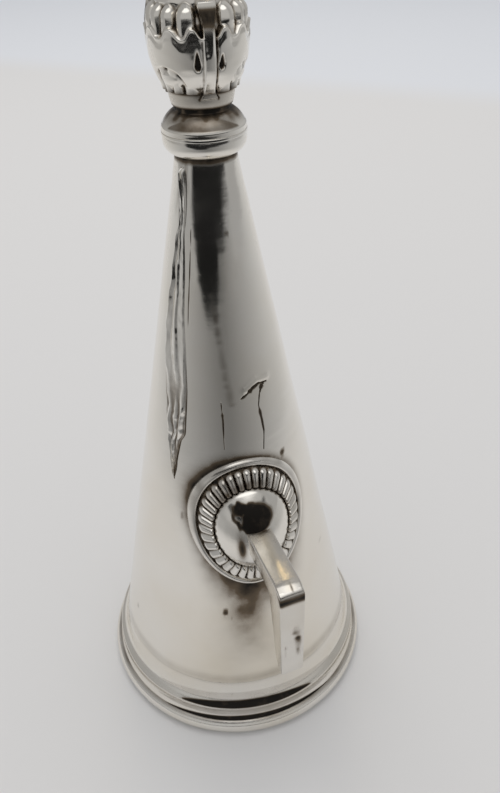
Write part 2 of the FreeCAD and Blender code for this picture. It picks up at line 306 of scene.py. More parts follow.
# Sheet pushed up above the tear, and a faint dark line that is a painted reflection
pushedUp = {"line": [(7.0, 44.4), (18.0, 45.15), (29.0, 45.0)], "rise": 0.08, "width": 0.38}
reflectedDarkLine = {"line": [(-16.0, 54.0), (-14.0, 52.0), (-5.6, 43.2)], "strength": 0.24, "width": 0.35}
spots = [  # (degrees, z, size, strength)
    (30.9, 36.0, 0.42, 0.80), (-18.0, 17.9, 0.38, 0.75), (-15.2, 17.2, 0.25, 0.45), (-60.0, 58.8, 0.35, 0.8),
    (7.4, 59.4, 0.25, 0.4), (-44.0, 29.9, 0.30, 0.45), (52.0, 21.0, 0.25, 0.3), (-78.0, 12.0, 0.3, 0.3),
    (118.0, 30.0, 0.35, 0.5), (160.0, 46.0, 0.30, 0.5), (-150.0, 22.0, 0.4, 0.45), (-110.0, 41.0, 0.3, 0.4),
    (96.0, 52.0, 0.28, 0.5), (-170.0, 10.0, 0.4, 0.4),
]
halo = {  # dirt round the rosette by bearing, and below it a painted shadow under the plate's lifted lower edge: (strength, centre, width) in degrees
    "level": 0.35, "upperLeft": (0.75, -38, 34), "top": (0.30, 10, 35), "below": (0.9, 180, 38),
    "reach": 0.05, "leftReach": (0.06, -45, 40), "belowReach": (0.42, 178, 44), "fall": 1.4, "strength": 0.9}
drip = {  # brown run below the rosette: its middle and its strength by height
    "middle": [(0, -2.0), (6, -2.8), (16, -8.0), (19.3, -5.0), (24, -3.0)], "middleSoft": 1.5,
    "strength": [(11, 0), (13, 0.10), (14.5, 0.16), (16.5, 0.28), (17.8, 0.40), (19.4, 0.50), (20.3, 0.62),
                 (20.9, 0.95), (22, 1)], "strengthSoft": 0.3,
    "width": 9.5, "faint": 0.09, "faintWidth": 22.0, "faintLow": (4.0, 12.0), "faintTop": (22, 26)}
smear = {"z": 7.9, "width": 0.75, "level": 0.15, "patch": 0.08}
# Painted shadow: a black ring round the top of the cone, under the collar
collarShadow = {"strength": 0.85, "fade": (65.0, 65.6)}
crust = {"strength": 0.35, "degrees": -58, "width": 13, "fade": (59.0, 63.0)}
handled = {"strength": 0.75, "degrees": -4, "width": 38, "fade": (6, 26), "patch": 0.10}  # worn front


def coneRadius(z, off=0.0):
    return cone["mouth"] - taper * z + off * slant


def nearLine(degrees, z, line):  # distance on the sheet to a run of points, and how far along it
    best = np.full(np.broadcast(degrees, z).shape, 1e9)
    share = np.zeros_like(best)
    for k, (here, there) in enumerate(zip(line, line[1:])):
        radius = coneRadius((here[1] + there[1]) / 2)
        ax, ay = math.radians(here[0]) * radius, here[1]
        dx, dy = math.radians(there[0] - here[0]) * radius, there[1] - here[1]
        px, py = np.radians(degrees) * radius - ax, z - ay
        s = np.clip((px * dx + py * dy) / (dx * dx + dy * dy), 0, 1)
        gap = np.hypot(px - s * dx, py - s * dy)
        share = np.where(gap < best, (k + s) / (len(line) - 1), share)
        best = np.minimum(best, gap)
    return best, share


# Dirt round the rosette, with a painted shadow below its lower edge
def rosetteDirtAndShadow(wrapped, z):
    across = coneRadius(z) * np.sin(np.radians(wrapped)) / rosette["halfWidth"]
    rising = (z - rosette["z"]) / rosette["halfHeight"]
    oval = np.where(np.cos(np.radians(wrapped)) > 0, np.hypot(across, rising), 9.0)  # 1 on the plate's edge
    bearing = np.degrees(np.arctan2(across, rising))  # 0 over the rosette, positive to the right
    below = np.abs(bearing)
    amount = halo["level"] + mound(bearing, halo["upperLeft"]) + mound(bearing, halo["top"])
    amount = amount + mound(below, halo["below"])
    reach = halo["reach"] + mound(bearing, halo["leftReach"]) + mound(below, halo["belowReach"])
    fade = np.exp(-(np.clip(oval - 1.0, 0, 9) / reach) ** halo["fall"])
    return np.clip(amount, 0, 1) * fade * halo["strength"]


def sheetStainsAndShade(wrapped, z, turns, along):  # soft stains, painted shadow under the collar and the rosette, and a painted dark reflection line, apart from the splits and spots
    middle = softCurve(z, drip["middle"], drip["middleSoft"])
    under = softCurve(z, drip["strength"], drip["strengthSoft"])
    under = under * hump(wrapped, middle, drip["width"]) * (z < rosette["z"])
    faint = hump(wrapped, middle, drip["faintWidth"]) * ease(*drip["faintLow"], z)
    faint = faint * (1 - ease(*drip["faintTop"], z)) * drip["faint"]
    low = smear["level"] + smear["patch"] * grain(turns, along, 14, 30, 15)
    low = low * hump(z, smear["z"], smear["width"])
    high = ease(*collarShadow["fade"], z) * collarShadow["strength"] + 0 * turns
    caked = crust["strength"] * hump(wrapped, crust["degrees"], crust["width"])
    caked = caked * ease(*crust["fade"], z)
    caked = caked * (0.5 + 0.5 * grain(turns, along, 90, 60, 21))
    # painted reflection: a faint dark line down the front
    trail = nearLine(wrapped, z, reflectedDarkLine["line"])[0]
    dull = reflectedDarkLine["strength"] * hump(trail, 0, reflectedDarkLine["width"])
    dull = dull * (0.8 + 0.5 * grain(turns, along, 30, 160, 27))
    cloudy = 1 + 0.10 * grain(turns, along, 40, 40, 14) + 0.10 * grain(turns, along, 100, 100, 20)
    return np.maximum.reduce([rosetteDirtAndShadow(wrapped, z), under + faint, low, high, caked, dull]) * cloudy


def coneWall():
    back = np.linspace(cone["backFrom"], cone["backTo"], cone["backCount"], endpoint=False)
    degrees = np.concatenate([np.arange(*run) for run in cone["turnRuns"]] + [back])[None, :]
    z = np.concatenate([np.linspace(0.0, cone["tearLow"], cone["lowRows"], endpoint=False),
                        np.arange(cone["tearLow"], cone["tearTop"], cone["tearStep"]),
                        np.linspace(cone["tearTop"], cone["height"], cone["topRows"])])[:, None]
    wrapped = centred(degrees, 360)
    turns, along = degrees / 360 % 1.0, z / cone["height"]
    away = ease(0, 4, z) * ease(0, 3, cone["height"] - z)
    bend = cone["dent"] * grain(turns, along, 9, 8, 11) + 0.3 * cone["dent"] * grain(turns, along, 22, 24, 12)
    rise = (bend + cone["ripple"] * grain(turns, along, 14, 100, 13)) * away
    stainAndShade = np.zeros(rise.shape)
    for split in splits:
        gap, share = nearLine(wrapped, z, split["line"])
        thin = split["width"] * (0.45 + 0.55 * np.sin(np.pi * np.clip(share, 0.04, 0.96)))
        thin = thin * (1 + 0.55 * grain(share, 0 * share, 11, 1, 18))
        rise = rise - split["depth"] * (1 - ease(0.3, 1.2, gap / thin))
        stainAndShade = np.maximum(stainAndShade, splitStain * (1 - ease(0.4, 1.6, gap / thin)))
    rise = rise + pushedUp["rise"] * hump(nearLine(wrapped, z, pushedUp["line"])[0], 0, pushedUp["width"])
    for angle, height, size, strength in spots:
        across = np.radians(centred(wrapped - angle, 360)) * coneRadius(height)
        gap = np.hypot(across, (z - height) * 0.8) * (1 + 0.35 * grain(turns, along, 150, 150, 19))
        stainAndShade = np.maximum(stainAndShade, strength * (1 - ease(0.2, 1.3, gap / size)))
    stainAndShade = np.maximum(stainAndShade, sheetStainsAndShade(wrapped, z, turns, along))
    wear = handled["strength"] * hump(wrapped, handled["degrees"], handled["width"])
    wear = wear * (1 - ease(*handled["fade"], z))
    wear = wear + handled["patch"] * (1 + grain(turns, along, 12, 12, 16))
    outer = roundPoints(coneRadius(z) + rise, np.radians(degrees), z)
    inZ = np.linspace(cone["height"], 0.0, cone["innerRows"])[:, None]
    inner = roundPoints(coneRadius(inZ, -cone["sheet"]), np.radians(degrees), inZ)
    soot = np.clip(cone["soot"] + cone["sootPatch"] * grain(turns, inZ / cone["height"], 10, 9, 17), 0, 1)
    return {"points": np.vstack([outer, inner]), "ends": "loop",
            "stainAndShade": np.vstack([stainAndShade, np.broadcast_to(soot, inner.shape[:2])]),
            "wear": np.vstack([wear, np.full(inner.shape[:2], cone["innerWear"])])}


makePiece("coneShell", [coneWall()], finishes["sheet"], "cone_shell")


# Run of solder on the seam: a narrow bead under the collar, then a wide wrinkled patch
seam = {"top": 64.90, "low": 34.00, "proud": 0.44, "rows": 340, "cols": 64, "bury": 0.08, "film": 0.012,
        "edgeSoft": 0.5, "narrowest": 1.0, "foldCount": 2.7, "foldFrom": 0.15, "floor": 0.16,
        "edgeStain": 0.70, "edgeWidth": 0.16, "foldShade": 0.42, "lighterUp": 0.85,
        "smoothSide": (0.60, 0.70), "smoothLow": (0.38, 0.46), "smoothTop": (0.80, 0.86),  # shares of the run
        "crumpleLow": (0.20, 0.42), "crumpleTop": (0.82, 0.90), "lighterFrom": (0.25, 0.45)}
seamLeft = [  # (z, degrees) up both edges
    (34.0, -51.2), (36.0, -53.5), (38.2, -56.6), (41.1, -61.2), (44.0, -64.2), (47.7, -67.6), (50.8, -70.2),
    (54.2, -68.0), (57.2, -65.5), (59.2, -61.5), (60.0, -57.5), (61.7, -61.0), (63.3, -64.0), (64.9, -66.5)]
seamRight = [
    (34.0, -50.6), (36.5, -48.5), (38.9, -45.8), (39.4, -42.4), (44.3, -41.4), (48.6, -43.6), (51.7, -46.2),
    (55.6, -46.6), (57.5, -47.8), (59.4, -49.6), (60.2, -48.2), (61.9, -47.4), (63.5, -49.4), (64.9, -53.5)]


def seamRun():
    z = np.linspace(seam["low"], seam["top"], seam["rows"])[:, None]
    along = (z - seam["low"]) / (seam["top"] - seam["low"])
    left = softCurve(z, seamLeft, seam["edgeSoft"])
    right = np.maximum(softCurve(z, seamRight, seam["edgeSoft"]), left + seam["narrowest"])
    across = np.linspace(0, 1, seam["cols"])[None, :]
    edge = ease(0.0, 0.10, across) * ease(0.0, 0.10, 1 - across)
    edge = edge * ease(0, 0.03, along) * ease(0, 0.01, 1 - along)
    wander = 0.55 * grain(across * 0.25, along, 4, 7, 22) + 0.22 * grain(across * 0.5, along, 6, 22, 23)
    folds = (across * seam["foldCount"] + seam["foldFrom"] + wander) % 1  # long wandering folds
    folds = 1 - np.abs(2 * folds - 1)
    folds = folds * np.clip(0.55 + 0.6 * grain(across * 0.5, along, 5, 9, 24), 0.1, 1)
    smooth = ease(*seam["smoothSide"], across) * ease(*seam["smoothLow"], along)
    smooth = smooth * (1 - ease(*seam["smoothTop"], along))
    folds = folds * (1 - 0.85 * smooth)
    lumps = 0.06 * grain(across * 0.6, along, 8, 60, 25) + 0.02 * grain(across * 0.8, along, 14, 150, 26)
    crumpled = 1 + 0.4 * ease(*seam["crumpleTop"], along) + 1.2 * (1 - ease(*seam["crumpleLow"], along))
    swell = np.clip(seam["floor"] + (1 - seam["floor"]) * folds + lumps * crumpled, 0, 1.1)
    height = blurred(seam["proud"] * edge * swell, 2)
    angle = np.radians(left + across * (right - left))
    front = roundPoints(coneRadius(z) + height + seam["film"], angle, z)
    back = roundPoints(coneRadius(z) - seam["bury"], angle, z)
    margin = np.minimum(across, 1 - across) * np.radians(right - left) * coneRadius(z)  # mm from the edge
    stainAndShade = seam["edgeStain"] * (1 - ease(0.0, seam["edgeWidth"], margin))
    # painted shade in the hollows between the folds
    stainAndShade = stainAndShade + seam["foldShade"] * (1 - ease(0.05, 0.32, folds)) * (1 - smooth) * edge
    stainAndShade = stainAndShade * (1 - seam["lighterUp"] * ease(*seam["lighterFrom"], along))  # less stain and painted shade towards the collar
    return {"points": np.concatenate([front, back[:, ::-1]], 1), "ends": "caps",
            "stainAndShade": np.concatenate([stainAndShade, stainAndShade * 0], 1)}


makePiece("seamSolder", [seamRun()], finishes["solder"], "seam_solder")


# Turned pieces of the foot and the collar: closed outlines, revolved and slightly out of true.
# Dark rings are (height, width, strength): tarnish on the foot, painted shade and painted dark reflection on
# the collar. Painted reflections are dark patches across the front, where the camera is mirrored, that thin
# out to both sides, of (low, tall, middle, half, strength) with the middle and half in degrees
def turnedSheet(outline, spacing, softness, segments, wobble, seed, darkRings=(), paintedReflections=()):
    loop = roundedLoop(bowed(outline), spacing, softness)
    angle = circle(segments)
    turns = angle / fullTurn
    r, z = loop[:, :1], loop[:, 1:]
    reach = (z - z.min()) / (z.max() - z.min())
    sway = 0.65 * grain(turns, reach, 7, 1, seed) + 0.35 * grain(turns, reach, 19, 2, seed + 1)
    drift = wobble * (sway - 1)
    stainAndShade = np.zeros((len(loop), segments))
    patch = 0.85 + 0.3 * grain(turns, reach, 40, 3, seed + 2)
    for height, width, strength in darkRings:
        stainAndShade = np.maximum(stainAndShade, strength * hump(z, height, width) * patch)
    for low, tall, middle, half, strength in paintedReflections:
        body = np.clip(1 - (centred(turns * 360 - middle, 360) / half) ** 2, 0, 1)
        inside = ease(-0.10, 0.06, z - low) * ease(-0.12, 0.12, low + tall * body - z) * ease(0, 0.15, body)
        stainAndShade = np.maximum(stainAndShade, strength * inside)
    return {"points": roundPoints(r + drift, angle, z), "ends": "loop", "stainAndShade": stainAndShade,
            "wear": 0.15 + 0.15 * grain(turns, reach, 16, 2, seed + 3)}


foot = {"wireProud": 0.93, "landProud": 0.43, "shoulderProud": 0.76, "wireBelly": 0.75, "wireHeight": 2.10,
        "wireHeel": 0.10, "wireRound": 0.28, "mouldingHeight": 7.50, "lip": 0.06, "ridgeProud": 0.83,
        "ridgeHeight": 4.10, "ridgeLand": 0.24, "ridgeHollow": 0.13, "cove": 0.20, "film": 0.02,
        "fascia": 4.95, "fasciaProud": 0.13, "fasciaHollow": 0.04,  # upright band over the ridge
        "wireStains": [(2.1, 0.16, 0.35)],
        "mouldingStains": [(2.1, 0.26, 0.25), (4.1, 0.15, 0.10), (7.5, 0.45, 0.15)],
        # painted reflections of the dark camera across the moulding's front
        "paintedReflections": [(4.22, 0.55, -10, 32, 1.2), (2.15, 0.62, -9, 42, 1.1), (2.9, 1.3, -10, 46, 0.20),
                   (4.8, 1.1, -9, 48, 0.13)]}
footCut = {"segments": 360, "wobble": 0.05}
shoulder = coneRadius(foot["wireHeight"]) + foot["shoulderProud"]
shoulderInside = (coneRadius(foot["wireHeight"], foot["film"]), foot["wireHeight"])
wireOutline = [
    (coneRadius(0, foot["film"]), 0), (cone["mouth"] + foot["landProud"], 0),
    (cone["mouth"] + foot["wireProud"], foot["wireBelly"], foot["wireHeel"]),
    (shoulder, foot["wireHeight"], foot["wireRound"]), shoulderInside,
]
ridge = coneRadius(foot["ridgeHeight"]) + foot["ridgeProud"]
lipInside = coneRadius(foot["mouldingHeight"], foot["film"])
mouldingOutline = [
    (lipInside, foot["mouldingHeight"]), (lipInside + foot["lip"], foot["mouldingHeight"]),
    (coneRadius(foot["fascia"]) + foot["fasciaProud"], foot["fascia"], -foot["fasciaHollow"]),
    (ridge, foot["ridgeHeight"] + foot["ridgeLand"] / 2, -foot["ridgeHollow"]),
    (ridge, foot["ridgeHeight"] - foot["ridgeLand"] / 2),
    (shoulder, foot["wireHeight"], -foot["cove"]), shoulderInside,
]
wire = turnedSheet(wireOutline, spacing=0.10, softness=0.11, seed=31, darkRings=foot["wireStains"], **footCut)
makePiece("rimWire", [wire], finishes["foot"], "rim_wire")
moulding = turnedSheet(mouldingOutline, spacing=0.11, softness=0.16, seed=41, darkRings=foot["mouldingStains"],
                       paintedReflections=foot["paintedReflections"], **footCut)
makePiece("baseMoulding", [moulding], finishes["foot"], "base_moulding")

collar = {"cupHeight": 1.95, "cupRadius": 3.58, "cupBulge": 0.40, "radius": 3.74, "edge": 0.24,
          "capHeight": 2.05, "capBulge": 0.12, "neckRadius": 2.46, "neckHeight": 0.35, "ledge": 0.06,
          "ledgeHeight": 0.26, "shoulderIn": 0.20, "shoulderHeight": 0.62, "shoulderBulge": 0.05,
          "spigot": 1.60, "spigotFit": 0.52, "bore": 0.82, "lip": 0.06, "lipDrop": 0.10, "lipBack": 0.04,
          "draft": 0.03, "ledgeDraft": 0.02}
collarCut = {"softness": 0.03, "segments": 240, "wobble": 0.02}
cupTop = cone["height"] + collar["cupHeight"]
collarTop = cupTop + collar["capHeight"]
spigotLow = cone["height"] - collar["spigot"]
rimLow = cupTop - collar["edge"]
ledgeRadius = collar["radius"] - collar["ledge"]
cupOutline = [
    (collar["bore"], spigotLow), (coneRadius(spigotLow, -collar["spigotFit"]), spigotLow),
    (coneRadius(cone["height"], -collar["spigotFit"]), cone["height"]), (cone["tip"], cone["height"]),
    (collar["cupRadius"] + collar["lip"], rimLow - collar["lipDrop"], collar["cupBulge"]),
    (collar["cupRadius"] + collar["lipBack"], rimLow), (collar["radius"], rimLow),
    (collar["radius"] - collar["draft"], cupTop), (collar["bore"], cupTop),
]
capOutline = [
    (collar["bore"], cupTop), (ledgeRadius, cupTop),
    (ledgeRadius - collar["ledgeDraft"], cupTop + collar["ledgeHeight"]),
    (collar["radius"] - collar["shoulderIn"], cupTop + collar["shoulderHeight"], collar["shoulderBulge"]),
    (collar["neckRadius"], collarTop - collar["neckHeight"], collar["capBulge"]),
    (collar["neckRadius"], collarTop), (collar["bore"], collarTop),
]
# Painted shadow on the cup where it meets the cone
cupContactShadow = [(cone["height"], 0.25, 0.75)]
# Painted shade at the cap's neck, and painted dark reflections over its upper slope and across its front
capShadeAndReflection = [(collarTop, 0.70, 1.2), (cupTop + 1.45, 0.55, 0.55)]
capPaintedReflections = [(cupTop + 0.58, 1.1, -14, 58, 0.45)]
cup = turnedSheet(cupOutline, spacing=0.035, seed=51, darkRings=cupContactShadow, **collarCut)
makePiece("collarCup", [cup], finishes["collar"], "collar_cup")
cap = turnedSheet(capOutline, spacing=0.04, seed=61, darkRings=capShadeAndReflection, paintedReflections=capPaintedReflections, **collarCut)
makePiece("collarCap", [cap], finishes["collar"], "collar_cap")


# Cast finial: a drum that the midribs lap over, and an acanthus bud of three broad leaves
bud = {
    "base": 70.95, "height": 9.40, "leaves": 3, "point": 0.25, "cols": 480, "rows": 200, "drumHeight": 1.35,
    "drumLow": 2.56, "drumTop": 2.80, "drumBulge": 0.06, "drumCols": 360, "lap": 0.48,
    "lapThick": 0.22, "lapInside": 2.3,
    # (height, radius) of the body and of what lies on it
    "core": [(0, 2.68), (0.5, 2.80), (1, 3.00), (2, 3.30), (3, 3.46), (4.2, 3.54), (5, 3.50), (6, 3.30),
             (7, 2.86), (8, 2.20), (9, 1.22), (9.4, 0.55)],
    "skin": [(-0.5, 2.70), (0, 2.88), (0.25, 3.08), (0.55, 3.32), (0.85, 3.51), (1.4, 3.75), (1.95, 3.91),
             (2.6, 4.03), (3.2, 4.12), (3.8, 4.175), (4.4, 4.205)],
    "spine": [(-0.5, 2.95), (0, 3.06), (0.4, 3.36), (1, 3.78), (1.95, 4.11), (2.7, 4.23), (3.1, 4.27),
              (4.2, 4.31), (5, 4.26), (5.6, 4.12), (6.0, 3.98), (6.4, 3.89), (6.7, 3.81)],
    "eyeHeight": 2.2, "eyeTall": 1.35, "eyeFoot": 0.45, "eyeWidth": 4.6, "eyeTurn": 14.4, "rightEye": 0.72,
    "eyeDepth": 0.26, "rimHeight": 4.56, "rimSwing": 0.36, "lobePitch": 23.2, "lobeFrom": 18.2, "band": 0.92,
    "bendFrom": 29.8, "lip": 0.08, "strapTop": 6.62, "hoods": [(26.5, 12.0, 6.50), (50.5, 9.5, 6.42)],
    "hoodFrom": 5.6, "podTurn": 60, "podHalf": 26, "podHeight": 1.05, "podTall": 0.86, "podRise": 0.58,
    "crownTop": 8.9, "crownDip": 1.6, "crownThick": 0.26, "crownRidge": 0.10,
    "rib": 7.2, "ribFoot": 7.5, "ribLow": 0.45, "ribFall": 0.55, "ribTip": 5.0, "ribTipFade": (5.1, 6.4),
    "cutFrom": 29, "cutRise": 2.05, "cutFall": 8.5, "rightChannel": 0.28, "leftChannel": 0.08,
    "hoodThick": 0.50, "hoodSwell": 0.14}


def budTurn(angle):  # degrees from the nearest midrib
    return centred(np.degrees(angle), 360.0 / bud["leaves"])


def ribWidth(height):  # half the midrib, in degrees: flared at its foot and at its tip
    flare = bud["ribFoot"] * np.exp(-(height + bud["ribLow"]) / bud["ribFall"])
    return bud["rib"] + flare + bud["ribTip"] * ease(*bud["ribTipFade"], height)


def budEye(turn, height):  # drop shaped eyes beside the midrib, the left one the larger
    grow = np.where(turn < 0, 1.0, bud["rightEye"])
    up = height - bud["eyeHeight"]
    over = np.clip(up / (bud["eyeTall"] * grow), 0, 1)
    wide = bud["eyeWidth"] * (0.7 + 0.3 * grow) * (1 - 0.7 * over)
    return np.hypot((np.abs(turn) - bud["eyeTurn"]) / wide, np.where(up > 0, over, up / bud["eyeFoot"]))


def budLeaf(turn, height, core):  # broad leaf with a scalloped rim, eyes and a channel along the midrib
    t = np.abs(turn)
    wide = np.where(t < bud["bendFrom"], t, bud["bendFrom"] + 0.8 * (t - bud["bendFrom"]))
    wave = np.cos(fullTurn * (wide - bud["lobeFrom"]) / bud["lobePitch"])
    top = bud["rimHeight"] + bud["rimSwing"] * wave * (1.25 - 0.25 * wave ** 2)
    inTop = top - height
    skin = softCurve(np.minimum(height, top - bud["band"]), bud["skin"], 0.2)
    skin = skin - 0.02 * ease(bud["band"], 0.25, inTop)  # upright band
    skin = skin + bud["lip"] * hump(inTop, 0.10, 0.11)
    past = t - bud["cutFrom"]  # the leaf's lower edge rises past here
    low = np.where(past > 0, bud["cutRise"] * (1 - np.exp(-past / bud["cutFall"])), -0.3)
    leaf = core + (skin - core) * ease(-0.05, 0.04, inTop) * ease(-0.04, 0.12, height - low)
    leaf = leaf - bud["eyeDepth"] * (1 - ease(0.45, 1.05, budEye(turn, height)))
    channel = np.where(turn > 0, bud["rightChannel"], bud["leftChannel"])
    channel = channel * hump(t, ribWidth(height) + 0.9, 1.4)
    return leaf - channel * (1 - ease(5.2, 5.8, height))


def budStrap(turn, height, core):  # chased midrib
    spine = softCurve(height, bud["spine"], 0.25)
    rib = np.abs(turn) / ribWidth(height)
    chased = 0.10 * hump(turn, 2.4, 1.1) - 0.07 * hump(turn, -2.8, 3.0) - 0.05 * hump(turn, 6.2, 2.0)
    strap = spine + chased * ease(2.7, 3.3, height) * (1 - ease(5.6, 6.0, height)) - 0.05 * rib ** 2
    return np.where(height < bud["strapTop"], core + (strap - core) * (1 - ease(0.90, 1.04, rib)), core)


def budRadius(turn, height):
    t = np.abs(turn)
    core = softCurve(height, bud["core"], 0.3)
    shells = core
    thick = bud["hoodThick"] + bud["hoodSwell"] * ease(4.6, 5.8, height)
    for angle, half, tip in bud["hoods"]:  # round hoods above the rim
        hood = np.hypot((t - angle) / half, np.clip(height - bud["hoodFrom"], 0, 9) / (tip - bud["hoodFrom"]))
        shells = np.maximum(shells, core + thick * np.clip(1 - hood ** 2, 0, 1) ** 0.5)
    pod = np.hypot((bud["podTurn"] - t) / bud["podHalf"], (height - bud["podHeight"]) / bud["podTall"])
    pods = core + (bud["podRise"] * np.sqrt(np.clip(1 - pod ** 2, 0, 1)) - 0.05 * hump(pod, 0.62, 0.10))
    crownTip = bud["crownTop"] - bud["crownDip"] * np.abs(np.sin(np.radians(3 * turn))) ** 2
    crown = bud["crownThick"] + bud["crownRidge"] * np.cos(np.radians(6 * turn))
    crown = core + crown * ease(-0.05, 0.06, crownTip - height) * ease(6.0, 6.6, height)
    leaf, strap = budLeaf(turn, height, core), budStrap(turn, height, core)
    return blurred(np.maximum.reduce([leaf, strap, shells, pods, crown]), 2)


def budSheet():
    angle = circle(bud["cols"])
    turns = angle / fullTurn
    height = np.linspace(0, bud["height"], bud["rows"])[:, None]
    along = height / bud["height"]
    turn, tall = budTurn(angle) + 0 * height, height + 0 * angle
    radius = budRadius(turn, tall) + 0.02 * grain(turns, along, 26, 18, 71)
    radius[-1] = bud["point"]
    hollow = np.clip((blurred(radius, 26) - radius) / 0.20, 0, 1)
    patch = 0.8 + 0.4 * grain(turns, along, 60, 40, 72)
    eye = 0.75 * (1 - ease(0.5, 1.0, budEye(turn, tall)))
    strap = ease(1.0, 0.75, np.abs(turn) / ribWidth(height))
    strap = strap * ease(4.3, 5.4, height) * ease(6.4, 5.9, height) * 0.8
    stainAndShade = np.clip(hollow * patch + 0.35 * hump(height, 0.0, 0.22) + eye + strap, 0, 1)
    return {"points": roundPoints(radius, angle, bud["base"] + height), "ends": "caps", "stainAndShade": stainAndShade,
            "wear": 0.10 + 0.10 * grain(turns, along, 12, 8, 73)}


def drumSheet():
    outline = [(collar["bore"], collarTop), (bud["drumLow"], collarTop),
               (bud["drumTop"], bud["base"], bud["drumBulge"]), (collar["bore"], bud["base"])]
    loop = roundedLoop(bowed(outline), 0.035, 0.04)
    angle = circle(bud["drumCols"])
    r, z = loop[:, :1], loop[:, 1:]
    height = z - bud["base"]
    rib = np.abs(budTurn(angle)) / ribWidth(np.clip(height, -bud["ribLow"], 0))
    lap = (1 - ease(0.9, 1.05, rib)) * ease(-bud["lap"] - 0.05, -bud["lap"] + 0.05, height)
    lap = lap * (r > bud["lapInside"])
    stainAndShade = 0.7 * hump(height, -0.02, 0.16) + 0.6 * hump(height, -bud["drumHeight"], 0.16)
    stainAndShade = np.clip(stainAndShade, 0, 1) + 0 * angle
    stainAndShade = np.maximum(stainAndShade, 0.8 * hump(rib, 1.12, 0.14) * ease(-0.75, -0.4, height))
    return {"points": roundPoints(r + bud["lapThick"] * lap, angle, z), "ends": "loop",
            "stainAndShade": stainAndShade * (1 - 0.7 * lap) + 0.18, "wear": np.full(stainAndShade.shape, 0.3)}


makePiece("finialBud", [budSheet()], finishes["cast"], "finial_bud")
makePiece("finialFoot", [drumSheet()], finishes["cast"], "finial_foot")


# Rosette: oval plate with a rolled rim, a ring of gadroons and a plain boss, all wrapped on the cone
plate = {"cols": 320, "rollRows": 26, "rimWidth": 0.80, "rimRise": 0.25, "thick": 0.60, "floor": 0.42,
         "inner": 2.6, "under": -0.12, "edge": 0.20}
flutes = {"count": 36, "perFlute": 18, "rows": 34, "fit": 0.04, "floor": 0.20, "ramp": 0.55, "rise": 0.42,
          "sink": 0.14, "swell": 0.10, "back": 0.2}
boss = {"cols": 220, "rows": 80, "half": 4.05, "tall": 4.50, "edge": 0.80, "dome": 2.00, "domePower": 2.4,
        "back": 0.45, "rimDepth": 0.30, "rimFrom": 0.93, "reflectionSide": -0.03, "reflectionOver": 0.52,
        "reflectionHalf": 0.54, "reflectionTall": 0.33}


def onRosette(halfWidth, halfHeight, angle, rise):  # angle from the top towards +X
    x = halfWidth * np.sin(angle)
    z = rosette["z"] + halfHeight * np.cos(angle)
    radius = coneRadius(z) + rise * slant + rosette["lean"] * (rosette["z"] - z)
    return pointGrid(x, -np.sqrt(radius ** 2 - x ** 2), z)


def plateSheet():
    angle = circle(plate["cols"])
    turns = angle / fullTurn
    width, floor, inner = plate["rimWidth"], plate["floor"], plate["inner"]
    roll = np.linspace(np.pi, 0, plate["rollRows"])
    inset = np.concatenate([[0.0, 0.0], width / 2 + width / 2 * np.cos(roll), [width + 0.05, inner, inner]])
    rolled = floor + (plate["thick"] + plate["rimRise"] - floor) * np.sin(roll)
    rise = np.concatenate([[plate["under"], plate["edge"]], rolled, [floor, floor, plate["under"]]])
    inset, rise = inset[:, None], rise[:, None]
    thick = rise + 0.02 * grain(turns, inset / inner, 24, 2, 81)
    stainAndShade = np.maximum(0.30 * hump(inset, width + 0.03, 0.10), 0.75 * hump(rise, 0.1, 0.25) * (inset < 0.3))
    grime = 0.10 * hump(centred(angle, fullTurn), -0.8, 0.8) + 0.13  # dull at the upper left
    stainAndShade = np.maximum(stainAndShade, grime) * (0.8 + 0.35 * grain(turns, inset / inner, 50, 3, 82))
    points = onRosette(rosette["halfWidth"] - inset, rosette["halfHeight"] - inset, angle, thick)
    return {"points": points, "ends": "loop", "stainAndShade": stainAndShade}


def gadroonSheet():
    angle = circle(flutes["count"] * flutes["perFlute"])
    turns = angle / fullTurn
    share = np.linspace(0, 1, flutes["rows"])[:, None]
    inset = plate["rimWidth"] + flutes["fit"]
    inWidth, inTall = boss["half"] + flutes["fit"], boss["tall"] + flutes["fit"]
    halfWidth = inWidth + share * (rosette["halfWidth"] - inset - inWidth)
    halfHeight = inTall + share * (rosette["halfHeight"] - inset - inTall)
    side = np.abs((turns * flutes["count"] + 0.5) % 1 - 0.5) * 2  # 0 on a flute, 1 between two
    blunt = np.clip((share - 0.80) / 0.20, 0, 1)
    shape = np.hypot(side * (0.98 + 0.1 * share), blunt)
    flute = np.clip(1 - np.clip(shape, 0, 1) ** 2, 0, 1) ** 0.62 * ease(-0.12, 0.22, share)
    slope = flutes["floor"] + flutes["ramp"] * (1 - share)
    rise = slope - flutes["sink"] + (flutes["rise"] + flutes["swell"]) * flute
    front = onRosette(halfWidth, halfHeight, angle, plate["thick"] + rise)
    back = onRosette(halfWidth, halfHeight, angle, plate["thick"] - flutes["back"] + 0 * angle)
    over = centred(angle, fullTurn)
    stainAndShade = 0.72 * (1 - ease(0.05, 0.62, flute)) + 0.08 + 0.16 * hump(over, -0.6, 0.45)
    stainAndShade = stainAndShade + 0.40 * hump(over, 0.0, 0.85) * (1 - ease(0.30, 0.65, share))  # dark inner ends at the top
    stainAndShade = stainAndShade + 0.45 * hump(over, 2.95, 0.20)  # painted shadow of the hook
    stainAndShade = stainAndShade * (0.85 + 0.3 * grain(turns, share, 70, 4, 83))
    return {"points": np.vstack([front, back[::-1]]), "ends": "loop", "stainAndShade": np.vstack([stainAndShade, stainAndShade * 0])}


